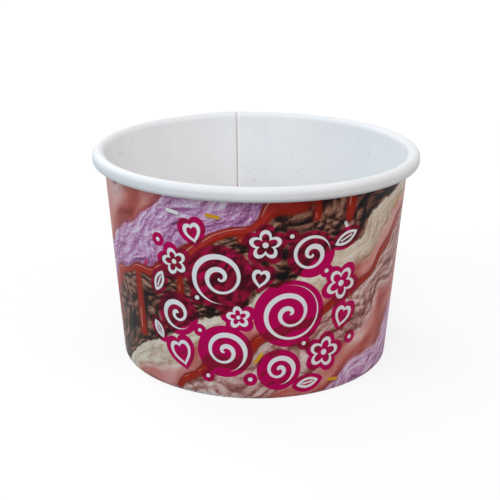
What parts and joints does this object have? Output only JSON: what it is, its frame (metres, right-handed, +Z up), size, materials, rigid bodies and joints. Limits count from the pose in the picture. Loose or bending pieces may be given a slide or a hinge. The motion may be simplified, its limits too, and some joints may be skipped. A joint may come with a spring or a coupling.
{
  "type": "paper dessert cup",
  "caption": "Single-wall paper dessert cup: tapered board wall with rolled rim, sealed side lap and folded foot round a recessed base disc. Printed outside, white inside.",
  "frame": {"origin": "centre of the foot, on the surface that the cup stands on", "axes": "+Z up along the cup's axis, -Y towards the front, +Y towards the side lap"},
  "size_m": [0.096, 0.096, 0.0628],
  "materials": {
    "printed_board": "satin coated paperboard, full-bleed print in browns, creams and pinks outside, plain white coating inside and over the rolled rim",
    "base_board": "white coated paperboard, satin on the food side and uncoated underneath"
  },
  "bodies": {
    "root": {"sidewall": "printed_board", "base_disc": "base_board"}
  },
  "joints": []
}
